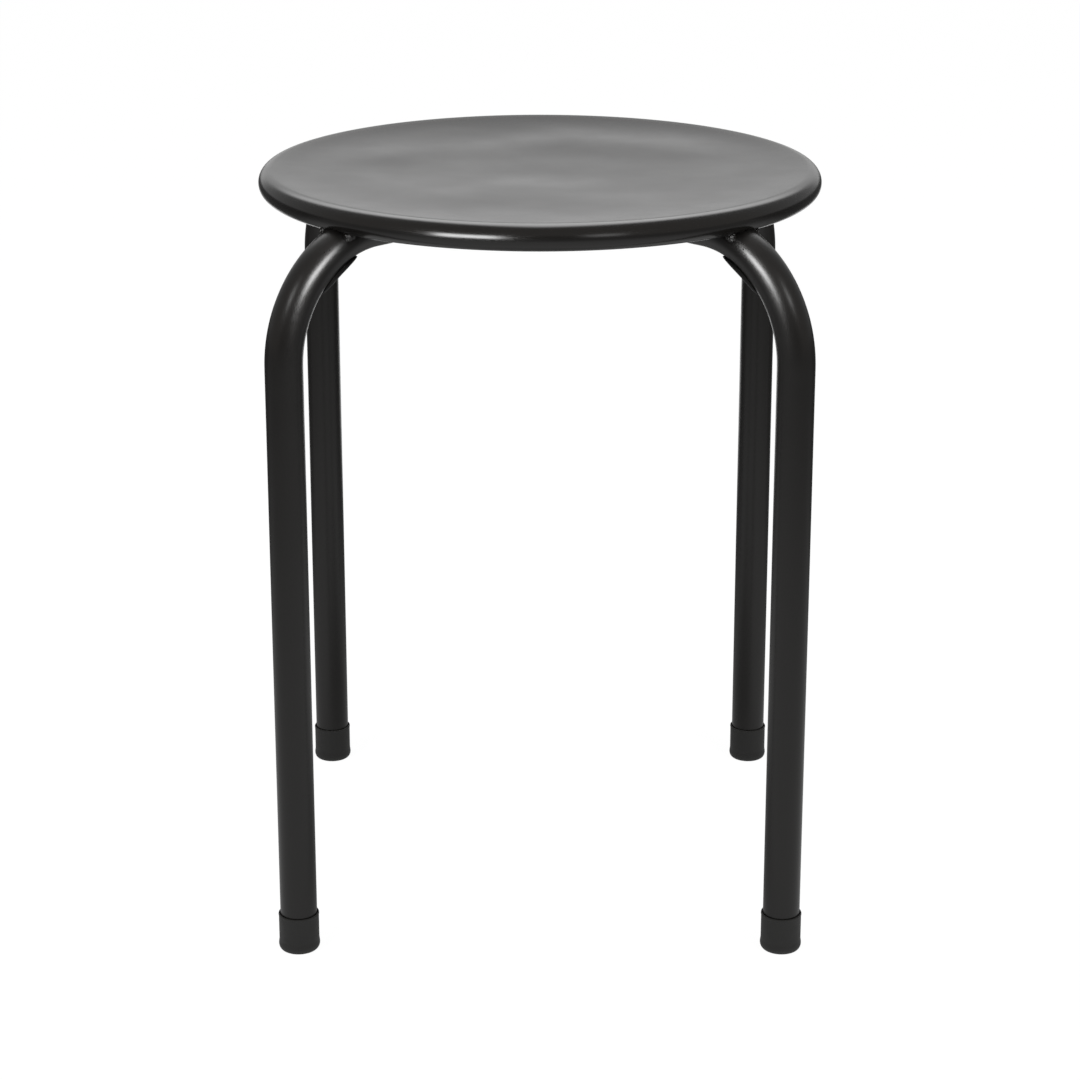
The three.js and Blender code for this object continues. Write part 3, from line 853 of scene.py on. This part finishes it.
def cap_section():
    """The cap's outline, from the middle of its floor, up inside, down outside and back to the axis."""
    widest = CAP_SIDE + CAP_FLARE
    outline = [(0, 0, 0)]
    for step in range(CAP_STEPS + 1):
        angle = math.pi / 2 * step / CAP_STEPS
        reach = widest - CAP_CORNER_WIDTH * (1 - math.sin(angle))
        outline.append((reach, 0, CAP_CORNER_HEIGHT * (1 - math.cos(angle))))
    for step in range(1, CAP_STEPS + 1):
        share = step / CAP_STEPS
        height = CAP_CORNER_HEIGHT + (CAP_FLARE_HEIGHT - CAP_CORNER_HEIGHT) * share
        outline.append((widest - CAP_FLARE * share * share * (3 - 2 * share), 0, height))
    lip_middle = CAP_HEIGHT - CAP_LIP_HEIGHT / 2
    for step in range(CAP_STEPS + 1):
        share = step / CAP_STEPS
        angle = math.pi * (share - 0.5)
        reach = CAP_SIDE - CAP_MOUTH_BEVEL * share**CAP_MOUTH_POWER + CAP_LIP * math.cos(angle)
        outline.append((reach, 0, lip_middle + CAP_LIP_HEIGHT / 2 * math.sin(angle)))
    outline.append((CAP_BORE, 0, CAP_HEIGHT - CAP_MOUTH_BEVEL))
    outline.append((CAP_BORE, 0, CAP_FLOOR))
    outline.append((0, 0, CAP_FLOOR))
    return outline[::-1]


def soft_plastic(name, colour, roughness, grain_size, grain_depth, scuff_height):
    """Matt moulded plastic with a fine grain, scuffed paler near the floor up to the scuff height."""
    material, tree, shader, place = new_finish(name)
    grain = noise(tree, place, 1 / grain_size, PLASTIC_DETAIL)
    patches = noise(tree, place, PLASTIC_PATCH_SCALE, PLASTIC_DETAIL, PLASTIC_PATCH_ROUGHNESS)
    near_floor = ramp(tree, split(tree, place)["Z"], 0, scuff_height, 1, 0)
    scuffs = product(tree, near_floor, ramp(tree, patches, *SCUFF_EDGE, 0, SCUFF_SHARE))
    worn = mixed_colour(tree, scuffs, shaded(tree, patches, colour, PLASTIC_SHADES), SCUFF_COLOUR)
    uneven = patchy_roughness(tree, patches, roughness, PLASTIC_ROUGHNESS_SPREAD)
    dress(tree, shader, worn, uneven, grain, grain_depth, PLASTIC_GRAIN_STRENGTH)
    return material


cap_plastic = soft_plastic("cap_plastic", CAP_COLOUR, CAP_ROUGHNESS, CAP_GRAIN_SIZE, CAP_GRAIN_DEPTH,
                           CAP_SCUFF_HEIGHT)
cap_tree = turned_tree(cap_plastic)
for corner, degrees in CORNER_TURNS.items():
    values = {"Turn Steps": CAP_TURN_STEPS, "Reach": LEG_REACH, "Turn": math.radians(degrees),
              "Wave Size": CAP_HEIGHT}
    cap = grown(f"shown_foot_cap_{corner}", line_curve("cap_section", cap_section()), cap_tree, values)
    cap.data.set_sharp_from_angle(angle=CAP_SHARP_ANGLE)
    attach(cap, "root")
    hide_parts(f"foot_cap_{corner}")


# Stacking bumpers: hard black plastic saddles on the hollow side of the bends, held by a peg in the tube.
# They keep the coating off the rim of the stool below. The face is nearly straight, so it is thickest in the
# middle of the bend, and the saddle has rounded ends and stands on a narrower foot.
BUMPER_LENGTH = 0.035
BUMPER_THICKNESS = 0.0031
BUMPER_LOWER_END = 0.0019
BUMPER_UPPER_END = 0.0008
BUMPER_WIDTH = 0.014
BUMPER_PLACE_SHARE = 0.64
BUMPER_FOOT_SHARE = 0.78
BUMPER_FOOT_HEIGHT = 0.0006
BUMPER_LAST_STATION_SHARE = 0.999
BUMPER_OUTLINE_POWER = 5
BUMPER_SIDE_POWER = 0.4
BUMPER_FACE_POWER = 0.6
BUMPER_STATIONS = 40
BUMPER_ROUND_STEPS = 20
BUMPER_SHARP_ANGLE = math.radians(50)
BUMPER_COLOUR = (0.006, 0.006, 0.006)
BUMPER_ROUGHNESS = 0.45
BUMPER_GRAIN_SIZE = 0.0005
BUMPER_GRAIN_DEPTH = 0.00002
BUMPER_SCUFF_HEIGHT = 0.001


def bumper_ring(size, face_height):
    """A section of the saddle, as shares of its half width and heights above the tube."""
    ring = []
    for step in range(BUMPER_ROUND_STEPS + 1):
        angle = math.pi * step / BUMPER_ROUND_STEPS
        wrap = -math.copysign(abs(math.cos(angle)) ** BUMPER_SIDE_POWER, math.cos(angle))
        rise = math.sin(angle) ** BUMPER_FACE_POWER * (face_height - BUMPER_FOOT_HEIGHT) + BUMPER_FOOT_HEIGHT
        ring.append((wrap * size, rise))
    foot = BUMPER_FOOT_SHARE * size
    return ring + [(foot, BUMPER_FOOT_HEIGHT), (foot, 0), (0, 0), (-foot, 0), (-foot, BUMPER_FOOT_HEIGHT)]


def bumper_mesh(turn):
    """Rings along the bend: a crowned face, a round edge and an undercut down to the foot on the tube."""
    middle = math.pi / 2 * BUMPER_PLACE_SHARE
    seat = TUBE_RADIUS + FIT_GAP
    half_span = BUMPER_LENGTH / 2 / (BEND_RADIUS - seat)
    half_wrap = BUMPER_WIDTH / 2 / seat
    across = Vector((0, 1, 0))
    points = []
    for station in range(BUMPER_STATIONS + 1):
        along = -math.cos(math.pi * station / BUMPER_STATIONS) * BUMPER_LAST_STATION_SHARE
        size = math.sqrt(1 - abs(along) ** BUMPER_OUTLINE_POWER)
        angle = middle + half_span * along
        outwards = Vector((math.cos(angle), 0, math.sin(angle)))
        centre = Vector((BEND_REACH, 0, BEND_HEIGHT)) + BEND_RADIUS * outwards
        end_thickness = BUMPER_LOWER_END if along < 0 else BUMPER_UPPER_END
        thickness = BUMPER_THICKNESS - (BUMPER_THICKNESS - end_thickness) * along * along
        ring = bumper_ring(size, BUMPER_FOOT_HEIGHT + (thickness - BUMPER_FOOT_HEIGHT) * size)
        for wrap, rise in ring:
            around = half_wrap * wrap
            radius = seat + rise
            points.append(centre - radius * math.cos(around) * outwards + radius * math.sin(around) * across)
    sides = len(ring)
    faces = []
    for station in range(BUMPER_STATIONS):
        here, there = station * sides, (station + 1) * sides
        for i in range(sides):
            j = (i + 1) % sides
            faces.append((here + i, there + i, there + j, here + j))
    faces.append(tuple(range(sides)))
    faces.append(tuple(range(BUMPER_STATIONS * sides, (BUMPER_STATIONS + 1) * sides))[::-1])
    mesh = bpy.data.meshes.new("bumper")
    mesh.from_pydata(points, [], faces)
    mesh.transform(Matrix.Rotation(turn, 4, "Z"))
    return mesh


bumper_plastic = soft_plastic("bumper_plastic", BUMPER_COLOUR, BUMPER_ROUGHNESS, BUMPER_GRAIN_SIZE,
                              BUMPER_GRAIN_DEPTH, BUMPER_SCUFF_HEIGHT)
for corner, degrees in CORNER_TURNS.items():
    mesh = bumper_mesh(math.radians(degrees))
    mesh.materials.append(bumper_plastic)
    mesh.shade_smooth()
    mesh.set_sharp_from_angle(angle=BUMPER_SHARP_ANGLE)
    bumper = bpy.data.objects.new(f"shown_stacking_bumper_{corner}", mesh)
    bpy.context.scene.collection.objects.link(bumper)
    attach(bumper, "root")
    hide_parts(f"stacking_bumper_{corner}")
